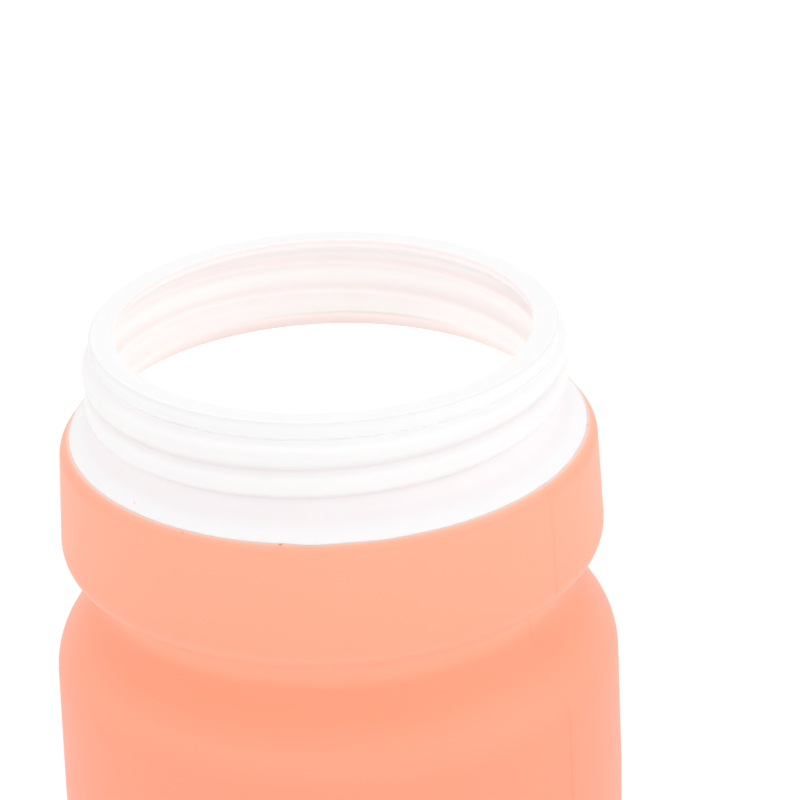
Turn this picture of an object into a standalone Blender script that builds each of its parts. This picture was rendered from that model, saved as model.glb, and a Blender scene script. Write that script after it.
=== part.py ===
"""Cycling water bottle, open, with its screw lid standing beside it.

The bottle is a blow-moulded white body with a threaded neck, under a thin coral coat
that stops below the neck. The lid is a threaded shell with a gasket and a push-pull
nozzle that slides on a tower and closes round a fixed plug.
Metres, +Z up. The surface that both stand on is z = 0, and the origin is under the
middle of the pair. Angles run anticlockwise from +X, seen from above.
"""
from math import acos, atan2, ceil, cos, pi, radians, sin, tan

import bmesh
import bpy
from mathutils import Vector

MM = 0.001

# Clearances and distances under which points are one
TOUCH_GAP = 0.3 * MM
THREAD_CLEARANCE = 0.4 * MM
STAND_GAP = 12.0 * MM
MERGE_DISTANCE = 0.01 * MM
WELD_DISTANCE = 0.001 * MM

# How finely round shapes are cut
BOTTLE_SEGMENTS = 36
SPOUT_SEGMENTS = 24
FACET_ERROR = 0.15 * MM
EDGE_ROUNDING = 0.4 * MM
STRAIGHT_ANGLE = radians(179.0)
THREAD_POINTS_PER_TURN = 24

# Bottle neck, measured down from the rim
RIM_HEIGHT = 158.0 * MM
NECK_RADIUS = 28.9 * MM
NECK_WALL = 1.3 * MM
LIP_OVERHANG = 0.5 * MM
LIP_WIDTH = 3.2 * MM
LIP_THICKNESS = 1.3 * MM
LIP_ROUNDING = 0.5 * MM
NECK_LENGTH = 11.5 * MM
NECK_FOOT_ROUNDING = 0.8 * MM

# Neck thread, right-handed
THREAD_PITCH = 4.1 * MM
THREAD_RIDGE_RADIUS = 1.2 * MM
THREAD_HEIGHT = 1.6 * MM
THREAD_LOW_DROP = 10.2 * MM
THREAD_LOW_ANGLE = radians(40.0)
THREAD_TURNS = 2.05
THREAD_RUNOUT_TURNS = 0.12
RUNOUT_SHARE = 0.3

# Coral coat, from its upper edge down
COAT_THICKNESS = 0.5 * MM
COAT_EDGE_RADIUS = 32.95 * MM
COAT_EDGE_DROP = 2.4 * MM
BAND_TOP_RADIUS = 34.15 * MM
BAND_TOP_DROP = 1.6 * MM
BAND_TOP_ROUNDING = 1.7 * MM
BAND_FOOT_RADIUS = 35.0 * MM
BAND_HEIGHT = 14.3 * MM
BAND_FOOT_ROUNDING = 3.1 * MM
GROOVE_RADIUS = 30.6 * MM
LEDGE_DROP = 1.6 * MM
GROOVE_TOP_ROUNDING = 1.1 * MM
GROOVE_HEIGHT = 4.0 * MM
GROOVE_FOOT_ROUNDING = 2.1 * MM
SHOULDER_RADIUS = 36.65 * MM
SHOULDER_DROP = 8.8 * MM
SHOULDER_ROUNDING = 8.6 * MM
BODY_RADIUS = 37.15 * MM
BODY_TAPER_LENGTH = 20.0 * MM
HEEL_ROUNDING = 6.0 * MM

# Bottle wall and base
WALL = 1.0 * MM
COAT_FOOT_CLEARANCE = 0.5 * MM
FOOT_RING_RADIUS = 30.6 * MM
FOOT_RING_WIDTH = 4.0 * MM
BASE_RECESS = 2.2 * MM
BASE_DISH = 1.8 * MM
BASE_ROUNDING = 1.5 * MM

# Lid shell
LID_WALL = 1.6 * MM
LID_SKIRT_DEPTH = 11.0 * MM
LID_ROOF = 1.8 * MM
LID_EDGE_ROUNDING = 2.6 * MM
DECK_INNER_RADIUS = 27.0 * MM
DECK_RISE = 1.2 * MM
DOME_RADIUS = 14.6 * MM
DOME_RISE = 6.0 * MM
DOME_ROUNDING = 5.0 * MM
PEDESTAL_RADIUS = 13.4 * MM
PEDESTAL_RISE = 3.2 * MM
PEDESTAL_ROUNDING = 0.8 * MM
LID_RIDGE_RADIUS = 0.8 * MM
LID_RIDGE_REACH = 1.3 * MM
LID_THREAD_TURNS = 1.25
FLUTE_COUNT = 36
FLUTE_RADIUS = 1.5 * MM
FLUTE_DEPTH = 0.8 * MM
FLUTE_FOOT = 2.0 * MM
FLUTE_TOP_MARGIN = 3.0 * MM
FLUTE_SIDES = 10

# Gasket
GASKET_THICKNESS = 1.4 * MM
GASKET_OVERLAP = 0.9 * MM

# Tower that carries the nozzle, moulded on the lid shell
TOWER_RADIUS = 8.8 * MM
TOWER_BORE = 6.6 * MM
TOWER_LEDGE_BORE = 5.6 * MM
TOWER_LEDGE_HEIGHT = 1.2 * MM
HEAD_HEIGHT = 3.4 * MM
SEAL_WIDTH = 1.2 * MM
SEAL_SECTION = 1.2 * MM

# Nozzle
NOZZLE_TRAVEL = 6.0 * MM
NOZZLE_WALL = 1.3 * MM
NOZZLE_LIP_HEIGHT = 1.2 * MM
NOZZLE_FLANGE_RADIUS = 12.8 * MM
NOZZLE_FLANGE_HEIGHT = 1.8 * MM
NOZZLE_ROOF = 1.5 * MM
NOZZLE_TUBE_RADIUS = 6.4 * MM
NOZZLE_TUBE_BORE = 4.9 * MM
NOZZLE_TUBE_LENGTH = 6.0 * MM
OUTLET_RADIUS = 3.2 * MM
OUTLET_LENGTH = 2.0 * MM
NOZZLE_EDGE_ROUNDING = 0.6 * MM

# Valve post inside the tower
POST_RING_WALL = 1.3 * MM
POST_RING_HEIGHT = 2.6 * MM
POST_PIN_RADIUS = 1.9 * MM
POST_SPOKE_COUNT = 3
POST_SPOKE_WIDTH = 1.6 * MM

# Soft mouthpiece
BEAD_HEIGHT = 1.2 * MM
BEAD_REACH = 0.5 * MM
MOUTH_FOOT_RADIUS = 10.4 * MM
MOUTH_FOOT_HEIGHT = 1.6 * MM
MOUTH_WAIST_RADIUS = 8.9 * MM
MOUTH_WAIST_HEIGHT = 3.4 * MM
MOUTH_BULB_RADIUS = 10.0 * MM
MOUTH_BULB_HEIGHT = 5.4 * MM
MOUTH_TOP_RADIUS = 5.6 * MM
MOUTH_LIP = 1.5 * MM
MOUTH_HOLE_RADIUS = 3.6 * MM
MOUTH_ROUNDING = 1.4 * MM

# Places that follow from the sizes
COAT_EDGE_HEIGHT = RIM_HEIGHT - NECK_LENGTH - COAT_EDGE_DROP
BAND_TOP_HEIGHT = COAT_EDGE_HEIGHT - BAND_TOP_DROP
BAND_FOOT_HEIGHT = BAND_TOP_HEIGHT - BAND_HEIGHT
GROOVE_TOP_HEIGHT = BAND_FOOT_HEIGHT - LEDGE_DROP
GROOVE_FOOT_HEIGHT = GROOVE_TOP_HEIGHT - GROOVE_HEIGHT
SHOULDER_HEIGHT = GROOVE_FOOT_HEIGHT - SHOULDER_DROP
BODY_TAPER_HEIGHT = SHOULDER_HEIGHT - BODY_TAPER_LENGTH
LIP_OUTER_RADIUS = NECK_RADIUS + LIP_OVERHANG
LIP_INNER_RADIUS = LIP_OUTER_RADIUS - LIP_WIDTH
THREAD_CREST_RADIUS = NECK_RADIUS + THREAD_HEIGHT
THREAD_CENTRE_RADIUS = THREAD_CREST_RADIUS - THREAD_RIDGE_RADIUS
LID_INNER_RADIUS = THREAD_CREST_RADIUS + THREAD_CLEARANCE
LID_RADIUS = LID_INNER_RADIUS + LID_WALL
LID_CEILING = LID_SKIRT_DEPTH + GASKET_THICKNESS + TOUCH_GAP
LID_ROOF_HEIGHT = LID_CEILING + LID_ROOF
DECK_HEIGHT = LID_ROOF_HEIGHT + DECK_RISE
DOME_HEIGHT = DECK_HEIGHT + DOME_RISE
PEDESTAL_HEIGHT = DOME_HEIGHT + PEDESTAL_RISE
NOZZLE_FOOT = PEDESTAL_HEIGHT + TOUCH_GAP
NOZZLE_LIP_TOP = NOZZLE_FOOT + NOZZLE_LIP_HEIGHT
HEAD_RADIUS = TOWER_RADIUS + 2 * TOUCH_GAP
NOZZLE_LIP_RADIUS = TOWER_RADIUS + TOUCH_GAP
NOZZLE_BORE = HEAD_RADIUS + TOUCH_GAP
HEAD_FOOT = NOZZLE_LIP_TOP + NOZZLE_TRAVEL + TOUCH_GAP
TOWER_TOP = HEAD_FOOT + HEAD_HEIGHT
SEAL_GROOVE_RADIUS = NOZZLE_BORE - TOUCH_GAP - SEAL_SECTION - TOUCH_GAP
SEAL_FOOT = HEAD_FOOT + (HEAD_HEIGHT - SEAL_WIDTH) / 2
NOZZLE_CEILING = TOWER_TOP + TOUCH_GAP
NOZZLE_DECK = NOZZLE_CEILING + NOZZLE_ROOF
NOZZLE_TOP = NOZZLE_DECK + NOZZLE_TUBE_LENGTH
NOZZLE_RADIUS = NOZZLE_BORE + NOZZLE_WALL
LEDGE_TOP = PEDESTAL_HEIGHT - LID_ROOF + TOWER_LEDGE_HEIGHT
POST_FOOT = LEDGE_TOP + TOUCH_GAP
MOUTH_FOOT = NOZZLE_DECK + TOUCH_GAP
MOUTH_CEILING = NOZZLE_TOP + TOUCH_GAP
MOUTH_TOP = MOUTH_CEILING + MOUTH_LIP
PAIR_SPAN = 2 * BODY_RADIUS + STAND_GAP + 2 * LID_RADIUS
BOTTLE_X = BODY_RADIUS - PAIR_SPAN / 2
LID_X = PAIR_SPAN / 2 - LID_RADIUS

# Outlines


def side_step(start, end, distance):
    """The step that moves a stretch of an outer outline inwards by a distance."""
    along = Vector((end[0] - start[0], end[1] - start[1])).normalized()
    return Vector((along.y, -along.x)) * distance


def meet(line_a, line_b):
    """Where two endless lines cross."""
    (p, q), (s, t) = line_a, line_b
    along_a = q - p
    along_b = t - s
    turn = along_a.cross(along_b)
    return p + along_a * ((s - p).cross(along_b) / turn)


def inset(corners, distance):
    """The same outline moved inwards. A corner is (radius, height, rounding)."""
    lines = []
    for start, end in zip(corners[:-1], corners[1:]):
        step = side_step(start, end, distance)
        lines.append((Vector(start[:2]) + step, Vector(end[:2]) + step))
    moved = [(*lines[0][0], 0)]
    for line, after, corner in zip(lines[:-1], lines[1:], corners[1:-1]):
        turn = (line[1] - line[0]).cross(after[1] - after[0])
        rounding = corner[2] + (distance if turn > 0 else -distance)
        moved.append((*meet(line, after), max(rounding, 0)))
    moved.append((*lines[-1][1], 0))
    return moved


def arc_points(before, corner, after, rounding):
    """The points of the arc that rounds one corner."""
    back = (before - corner).normalized()
    onward = (after - corner).normalized()
    opening = back.angle(onward)
    if rounding <= 0 or opening > STRAIGHT_ANGLE:
        return [corner]
    room = min((before - corner).length, (after - corner).length) / 2
    reach = min(rounding / tan(opening / 2), room)
    radius = reach * tan(opening / 2)
    centre = corner + (back + onward).normalized() * (radius / sin(opening / 2))
    spoke = corner + back * reach - centre
    end = corner + onward * reach - centre
    sweep = atan2(spoke.cross(end), spoke.dot(end))
    facet = 2 * acos(max(0, 1 - FACET_ERROR / radius))
    steps = max(1, ceil(abs(sweep) / facet))
    points = []
    for step in range(steps + 1):
        angle = sweep * step / steps
        x = spoke.x * cos(angle) - spoke.y * sin(angle)
        y = spoke.x * sin(angle) + spoke.y * cos(angle)
        points.append(centre + Vector((x, y)))
    return points


def rounded(corners, closed=False):
    """The points of an outline whose corners are rounded as each one says."""
    places = [Vector(corner[:2]) for corner in corners]
    count = len(corners)
    points = []
    for index, corner in enumerate(corners):
        at_end = index in (0, count - 1)
        if at_end and not closed:
            points.append(places[index])
            continue
        before = places[index - 1]
        after = places[(index + 1) % count]
        points.extend(arc_points(before, places[index], after, corner[2]))
    return points


def outer_skin():
    """The coral surface, from the coat's upper edge down to its foot."""
    return [
        (COAT_EDGE_RADIUS, COAT_EDGE_HEIGHT, 0),
        (BAND_TOP_RADIUS, BAND_TOP_HEIGHT, BAND_TOP_ROUNDING),
        (BAND_FOOT_RADIUS, BAND_FOOT_HEIGHT, BAND_FOOT_ROUNDING),
        (GROOVE_RADIUS, GROOVE_TOP_HEIGHT, GROOVE_TOP_ROUNDING),
        (GROOVE_RADIUS, GROOVE_FOOT_HEIGHT, GROOVE_FOOT_ROUNDING),
        (SHOULDER_RADIUS, SHOULDER_HEIGHT, SHOULDER_ROUNDING),
        (BODY_RADIUS, BODY_TAPER_HEIGHT, 0),
        (BODY_RADIUS, COAT_FOOT_CLEARANCE, HEEL_ROUNDING),
        (FOOT_RING_RADIUS + TOUCH_GAP, COAT_FOOT_CLEARANCE, 0),
    ]


# Blender helpers


def new_collection(name):
    made = bpy.data.collections.new(name)
    bpy.context.scene.collection.children.link(made)
    return made


def material(name, colour, roughness):
    made = bpy.data.materials.new(name)
    made.use_nodes = True
    shader = made.node_tree.nodes["Principled BSDF"]
    shader.inputs["Base Color"].default_value = (*colour, 1.0)
    shader.inputs["Roughness"].default_value = roughness
    shader.inputs["Metallic"].default_value = 0.0
    made.diffuse_color = (*colour, 1.0)
    return made


def add_object(name, mesh, collection, x=0.0, finish=None):
    made = bpy.data.objects.new(name, mesh)
    made.location.x = x
    collection.objects.link(made)
    if finish:
        mesh.materials.append(finish)
    return made


def turned(name, points, collection, x, segments, finish=None, closed=True):
    """A solid turned round its own Z axis from an outline at +X."""
    mesh = bpy.data.meshes.new(name)
    edges = [(i, i + 1) for i in range(len(points) - 1)]
    if closed:
        edges.append((len(points) - 1, 0))
    mesh.from_pydata([(point[0], 0, point[1]) for point in points], edges, [])
    made = add_object(name, mesh, collection, x, finish)
    screw = made.modifiers.new("Turned", "SCREW")
    screw.steps = segments
    screw.render_steps = segments
    screw.use_merge_vertices = True
    screw.merge_threshold = MERGE_DISTANCE
    screw.use_smooth_shade = True
    return made


def cutter(made):
    made.hide_render = True
    made.display_type = "WIRE"
    return made


def boolean(target, tool, operation, tool_crosses_itself=False):
    step = target.modifiers.new(tool.name, "BOOLEAN")
    step.object = tool
    step.operation = operation
    step.solver = "EXACT"
    step.use_self = tool_crosses_itself


def helix_ridge(name, centre_radius, ridge_radius, low_height, low_angle, turns, x):
    """A right-handed thread ridge that thins out at both ends, as a closed mesh."""
    curve = bpy.data.curves.new(name, "CURVE")
    curve.dimensions = "3D"
    curve.bevel_depth = ridge_radius
    curve.bevel_resolution = 2
    curve.use_fill_caps = True
    count = int(turns * THREAD_POINTS_PER_TURN) + 1
    line = curve.splines.new("POLY")
    line.points.add(count - 1)
    for index, point in enumerate(line.points):
        turned_by = turns * index / (count - 1)
        angle = low_angle + 2 * pi * turned_by
        height = low_height + THREAD_PITCH * turned_by
        point.co = (centre_radius * cos(angle), centre_radius * sin(angle), height, 1)
        from_end = min(turned_by, turns - turned_by)
        fullness = min(1, from_end / THREAD_RUNOUT_TURNS)
        point.radius = RUNOUT_SHARE + (1 - RUNOUT_SHARE) * fullness
    guide = add_object(name + "_line", curve, tools)
    bpy.context.view_layer.update()
    graph = bpy.context.evaluated_depsgraph_get()
    mesh = bpy.data.meshes.new_from_object(guide.evaluated_get(graph))
    mesh.name = name
    shape = bmesh.new()
    shape.from_mesh(mesh)
    bmesh.ops.remove_doubles(shape, verts=shape.verts, dist=WELD_DISTANCE)
    bmesh.ops.recalc_face_normals(shape, faces=shape.faces)
    shape.to_mesh(mesh)
    shape.free()
    bpy.data.objects.remove(guide)
    return cutter(add_object(name, mesh, tools, x))


# Bottle


def body_outline():
    """From the axis inside, up the inner wall, over the lip and down the outside."""
    under_coat = inset(outer_skin(), COAT_THICKNESS + TOUCH_GAP)
    inside = inset(outer_skin(), COAT_THICKNESS + TOUCH_GAP + WALL)
    neck_foot = RIM_HEIGHT - NECK_LENGTH
    neck_line = (Vector((NECK_RADIUS, neck_foot)),
                 Vector((COAT_EDGE_RADIUS, COAT_EDGE_HEIGHT)))
    skin_line = (Vector(under_coat[0][:2]), Vector(under_coat[1][:2]))
    step = side_step(*neck_line, WALL)
    roof_line = (neck_line[0] + step, neck_line[1] + step)
    inner_line = (Vector(inside[0][:2]), Vector(inside[1][:2]))
    shoulder_edge = meet(neck_line, skin_line)
    inner_edge = meet(roof_line, inner_line)
    bore = NECK_RADIUS - NECK_WALL
    bore_foot = roof_line[0] + (roof_line[1] - roof_line[0]) * (
        (bore - roof_line[0].x) / (roof_line[1].x - roof_line[0].x))
    ring_inner = FOOT_RING_RADIUS - FOOT_RING_WIDTH
    floor_height = BASE_RECESS + WALL
    down_outside = [
        (NECK_RADIUS, RIM_HEIGHT - LIP_THICKNESS, LIP_ROUNDING),
        (NECK_RADIUS, neck_foot, NECK_FOOT_ROUNDING),
        (*shoulder_edge, 0),
        *under_coat[1:-1],
        (FOOT_RING_RADIUS, under_coat[-1][1], 0),
        (FOOT_RING_RADIUS, 0, BASE_ROUNDING / 2),
        (ring_inner, 0, BASE_ROUNDING / 2),
        (ring_inner - BASE_RECESS, BASE_RECESS, BASE_ROUNDING),
        (0, BASE_RECESS + BASE_DISH, 0),
    ]
    up_inside = [
        (0, floor_height + BASE_DISH, 0),
        (ring_inner - floor_height, floor_height, BASE_ROUNDING),
        (ring_inner, inside[-2][1], BASE_ROUNDING),
        *inside[-2:0:-1],
        (*inner_edge, 0),
        (*bore_foot, NECK_FOOT_ROUNDING),
        (bore, RIM_HEIGHT - LIP_THICKNESS - (bore - LIP_INNER_RADIUS), LIP_ROUNDING),
        (LIP_INNER_RADIUS, RIM_HEIGHT - LIP_THICKNESS, LIP_ROUNDING),
        (LIP_INNER_RADIUS, RIM_HEIGHT, LIP_ROUNDING),
        (LIP_OUTER_RADIUS, RIM_HEIGHT, LIP_ROUNDING),
        (LIP_OUTER_RADIUS, RIM_HEIGHT - LIP_THICKNESS, LIP_ROUNDING),
    ]
    return rounded(up_inside + down_outside)


def make_bottle():
    white = material("white_polyethylene", (0.93, 0.92, 0.92), 0.35)
    body = turned("bottle_body", body_outline(), pieces, BOTTLE_X, BOTTLE_SEGMENTS,
                  white, closed=False)
    ridge = helix_ridge("neck_thread", THREAD_CENTRE_RADIUS, THREAD_RIDGE_RADIUS,
                        RIM_HEIGHT - THREAD_LOW_DROP, THREAD_LOW_ANGLE, THREAD_TURNS,
                        BOTTLE_X)
    boolean(body, ridge, "UNION")

    coral = material("coral_coating", (1.0, 0.42, 0.28), 0.38)
    skin = outer_skin()
    edge = Vector(skin[0][:2])
    along = (Vector(skin[1][:2]) - edge).normalized()
    skin[0] = (*(edge + along * TOUCH_GAP), 0)
    lining = inset(skin, COAT_THICKNESS)
    outline = rounded(skin) + rounded(lining)[::-1]
    turned("coral_coat", outline, pieces, BOTTLE_X, BOTTLE_SEGMENTS, coral)


# Lid


def shell_outline():
    """The lid's section: down the outside from the tower, up the inside to it."""
    tower_side = [
        (TOWER_BORE, TOWER_TOP, 0),
        (HEAD_RADIUS, TOWER_TOP, 0),
        (HEAD_RADIUS, SEAL_FOOT + SEAL_WIDTH + TOUCH_GAP, 0),
        (SEAL_GROOVE_RADIUS, SEAL_FOOT + SEAL_WIDTH + TOUCH_GAP, 0),
        (SEAL_GROOVE_RADIUS, SEAL_FOOT - TOUCH_GAP, 0),
        (HEAD_RADIUS, SEAL_FOOT - TOUCH_GAP, 0),
        (HEAD_RADIUS, HEAD_FOOT, 0),
        (TOWER_RADIUS, HEAD_FOOT, 0),
        (TOWER_RADIUS, PEDESTAL_HEIGHT, 0),
    ]
    outside = [
        (PEDESTAL_RADIUS, PEDESTAL_HEIGHT, PEDESTAL_ROUNDING),
        (DOME_RADIUS, DOME_HEIGHT, DOME_ROUNDING),
        (DECK_INNER_RADIUS, DECK_HEIGHT, DOME_ROUNDING),
        (LID_RADIUS, LID_ROOF_HEIGHT, LID_EDGE_ROUNDING),
        (LID_RADIUS, 0, EDGE_ROUNDING),
    ]
    room_edge = LIP_INNER_RADIUS - GASKET_OVERLAP
    inside = [
        (LID_INNER_RADIUS, 0, EDGE_ROUNDING),
        (LID_INNER_RADIUS, LID_CEILING, 0),
        (room_edge, LID_CEILING, 0),
        (room_edge - LID_ROOF, DECK_HEIGHT - LID_ROOF / 2, 0),
        (DOME_RADIUS - LID_ROOF, DOME_HEIGHT - LID_ROOF, 0),
        (PEDESTAL_RADIUS - LID_ROOF, PEDESTAL_HEIGHT - LID_ROOF, 0),
        (TOWER_LEDGE_BORE, PEDESTAL_HEIGHT - LID_ROOF, 0),
        (TOWER_LEDGE_BORE, LEDGE_TOP, 0),
        (TOWER_BORE, LEDGE_TOP, 0),
    ]
    return rounded(tower_side + outside + inside, closed=True)


def flute_cutter():
    """Upright grip flutes round the skirt, as one cutter of separate rods."""
    shape = bmesh.new()
    top = LID_ROOF_HEIGHT - FLUTE_TOP_MARGIN
    for index in range(FLUTE_COUNT):
        angle = 2 * pi * (index + 0.5) / FLUTE_COUNT
        made = bmesh.ops.create_cone(
            shape, cap_ends=True, segments=FLUTE_SIDES,
            radius1=FLUTE_RADIUS, radius2=FLUTE_RADIUS, depth=top - FLUTE_FOOT)
        out = LID_RADIUS + FLUTE_RADIUS - FLUTE_DEPTH
        place = (out * cos(angle), out * sin(angle), (top + FLUTE_FOOT) / 2)
        bmesh.ops.translate(shape, verts=made["verts"], vec=place)
    mesh = bpy.data.meshes.new("grip_flutes")
    shape.to_mesh(mesh)
    shape.free()
    return cutter(add_object("grip_flutes", mesh, tools, LID_X))


def make_lid():
    shell = turned("lid_shell", shell_outline(), pieces, LID_X, BOTTLE_SEGMENTS,
                   material("coral_polypropylene", (1.0, 0.40, 0.27), 0.42))
    ridge_centre = LID_INNER_RADIUS - LID_RIDGE_REACH + LID_RIDGE_RADIUS
    first_groove = LID_SKIRT_DEPTH - THREAD_LOW_DROP + THREAD_PITCH / 2
    ridge = helix_ridge("lid_thread", ridge_centre, LID_RIDGE_RADIUS, first_groove,
                        THREAD_LOW_ANGLE, LID_THREAD_TURNS, LID_X)
    boolean(shell, flute_cutter(), "DIFFERENCE")
    boolean(shell, ridge, "UNION")

    gasket = [
        (LIP_INNER_RADIUS - GASKET_OVERLAP, LID_SKIRT_DEPTH, 0),
        (LIP_INNER_RADIUS - GASKET_OVERLAP, LID_SKIRT_DEPTH + GASKET_THICKNESS, 0),
        (LID_INNER_RADIUS - TOUCH_GAP, LID_SKIRT_DEPTH + GASKET_THICKNESS, 0),
        (LID_INNER_RADIUS - TOUCH_GAP, LID_SKIRT_DEPTH, 0),
    ]
    turned("lid_gasket", rounded(gasket, closed=True), pieces, LID_X, BOTTLE_SEGMENTS,
           material("white_seal_rubber", (0.85, 0.85, 0.84), 0.6))

    seal_inner = SEAL_GROOVE_RADIUS + TOUCH_GAP
    seal = [
        (seal_inner, SEAL_FOOT, SEAL_SECTION / 3),
        (seal_inner, SEAL_FOOT + SEAL_WIDTH, SEAL_SECTION / 3),
        (seal_inner + SEAL_SECTION, SEAL_FOOT + SEAL_WIDTH, SEAL_SECTION / 3),
        (seal_inner + SEAL_SECTION, SEAL_FOOT, SEAL_SECTION / 3),
    ]
    turned("nozzle_seal", rounded(seal, closed=True), pieces, LID_X, SPOUT_SEGMENTS,
           material("clear_silicone", (0.88, 0.88, 0.87), 0.5))


def make_valve_post():
    """A ring in the tower's bore, with spokes that carry the plug's pin."""
    finish = material("white_polypropylene", (0.90, 0.90, 0.89), 0.4)
    ring_radius = TOWER_BORE - TOUCH_GAP
    ring_inner = ring_radius - POST_RING_WALL
    ring = [
        (ring_inner, POST_FOOT, 0),
        (ring_inner, POST_FOOT + POST_RING_HEIGHT, 0),
        (ring_radius, POST_FOOT + POST_RING_HEIGHT, 0),
        (ring_radius, POST_FOOT, 0),
    ]
    post = turned("valve_post", rounded(ring, closed=True), pieces, LID_X,
                  SPOUT_SEGMENTS, finish)
    plug_radius = OUTLET_RADIUS - TOUCH_GAP
    plug_foot = NOZZLE_TOP - OUTLET_LENGTH
    pin = [
        (0, NOZZLE_TOP, 0),
        (plug_radius, NOZZLE_TOP, EDGE_ROUNDING),
        (plug_radius, plug_foot, 0),
        (POST_PIN_RADIUS, plug_foot - (plug_radius - POST_PIN_RADIUS), 0),
        (POST_PIN_RADIUS, POST_FOOT, 0),
        (0, POST_FOOT, 0),
    ]
    pin_tool = turned("plug_pin", rounded(pin), tools, LID_X, SPOUT_SEGMENTS,
                      closed=False)
    boolean(post, cutter(pin_tool), "UNION")
    reach = ring_radius - POST_RING_WALL / 2
    shape = bmesh.new()
    for index in range(POST_SPOKE_COUNT):
        angle = 2 * pi * index / POST_SPOKE_COUNT
        made = bmesh.ops.create_cube(shape, size=1)
        size = (reach, POST_SPOKE_WIDTH, POST_RING_HEIGHT - 2 * TOUCH_GAP)
        bmesh.ops.scale(shape, verts=made["verts"], vec=size)
        middle = POST_FOOT + POST_RING_HEIGHT / 2
        bmesh.ops.translate(shape, verts=made["verts"], vec=(reach / 2, 0, middle))
        for vert in made["verts"]:
            x, y, z = vert.co
            vert.co = (x * cos(angle) - y * sin(angle), x * sin(angle) + y * cos(angle), z)
    mesh = bpy.data.meshes.new("post_spokes")
    shape.to_mesh(mesh)
    shape.free()
    spokes = cutter(add_object("post_spokes", mesh, tools, LID_X))
    boolean(post, spokes, "UNION", tool_crosses_itself=True)


def make_nozzle():
    bead_foot = NOZZLE_TOP - BEAD_HEIGHT
    bead_radius = NOZZLE_TUBE_RADIUS + BEAD_REACH
    nozzle = [
        (NOZZLE_LIP_RADIUS, NOZZLE_FOOT, 0),
        (NOZZLE_LIP_RADIUS, NOZZLE_LIP_TOP, 0),
        (NOZZLE_BORE, NOZZLE_LIP_TOP, 0),
        (NOZZLE_BORE, NOZZLE_CEILING, 0),
        (NOZZLE_TUBE_BORE, NOZZLE_CEILING, 0),
        (NOZZLE_TUBE_BORE, NOZZLE_TOP - OUTLET_LENGTH, 0),
        (OUTLET_RADIUS, NOZZLE_TOP - OUTLET_LENGTH, 0),
        (OUTLET_RADIUS, NOZZLE_TOP, 0),
        (bead_radius, NOZZLE_TOP, 0),
        (bead_radius, bead_foot, 0),
        (NOZZLE_TUBE_RADIUS, bead_foot, 0),
        (NOZZLE_TUBE_RADIUS, NOZZLE_DECK, 0),
        (NOZZLE_RADIUS, NOZZLE_DECK, NOZZLE_EDGE_ROUNDING),
        (NOZZLE_RADIUS, NOZZLE_FOOT + NOZZLE_FLANGE_HEIGHT, NOZZLE_EDGE_ROUNDING),
        (NOZZLE_FLANGE_RADIUS, NOZZLE_FOOT + NOZZLE_FLANGE_HEIGHT, NOZZLE_EDGE_ROUNDING),
        (NOZZLE_FLANGE_RADIUS, NOZZLE_FOOT, 0),
    ]
    turned("nozzle", rounded(nozzle, closed=True), pieces, LID_X, SPOUT_SEGMENTS,
           material("white_nozzle_plastic", (0.92, 0.92, 0.91), 0.36))

    tube_gap = NOZZLE_TUBE_RADIUS + TOUCH_GAP
    bead_gap = bead_radius + TOUCH_GAP
    mouth = [
        (tube_gap, MOUTH_FOOT, 0),
        (tube_gap, bead_foot - TOUCH_GAP, 0),
        (bead_gap, bead_foot - TOUCH_GAP, 0),
        (bead_gap, MOUTH_CEILING, 0),
        (MOUTH_HOLE_RADIUS, MOUTH_CEILING, 0),
        (MOUTH_HOLE_RADIUS, MOUTH_TOP, EDGE_ROUNDING),
        (MOUTH_TOP_RADIUS, MOUTH_TOP, MOUTH_ROUNDING),
        (MOUTH_BULB_RADIUS, MOUTH_FOOT + MOUTH_BULB_HEIGHT, MOUTH_ROUNDING),
        (MOUTH_WAIST_RADIUS, MOUTH_FOOT + MOUTH_WAIST_HEIGHT, MOUTH_ROUNDING),
        (MOUTH_FOOT_RADIUS, MOUTH_FOOT + MOUTH_FOOT_HEIGHT, MOUTH_ROUNDING / 2),
        (MOUTH_FOOT_RADIUS, MOUTH_FOOT, 0),
    ]
    turned("mouthpiece", rounded(mouth, closed=True), pieces, LID_X, SPOUT_SEGMENTS,
           material("soft_white_rubber", (0.90, 0.89, 0.88), 0.55))


for old in list(bpy.data.objects):
    bpy.data.objects.remove(old)
pieces = new_collection("cycling_water_bottle")
tools = new_collection("cutting_tools")
make_bottle()
make_lid()
make_valve_post()
make_nozzle()
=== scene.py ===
# %% [markdown]
# # A cycling bottle, open, with its lid beside it
#
# The real object is a squeeze bottle: a white body blown from soft polyethylene, a coral
# coating over it that stops below the neck, and a screw lid with a push-pull nozzle. The
# bottle stands open, as someone leaves it to be filled, and the lid stands next to it.
#
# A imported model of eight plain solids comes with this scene. It is the frame: it says
# where everything is and what moves. Each step below makes one piece again as it really
# looks, at the same place, and hides the plain solid under it.

# %% Load the frame and remember its size
from math import ceil, cos, pi, radians, sin, tan

import bmesh
import bpy
import numpy as np
from mathutils import Matrix, Vector


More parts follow.
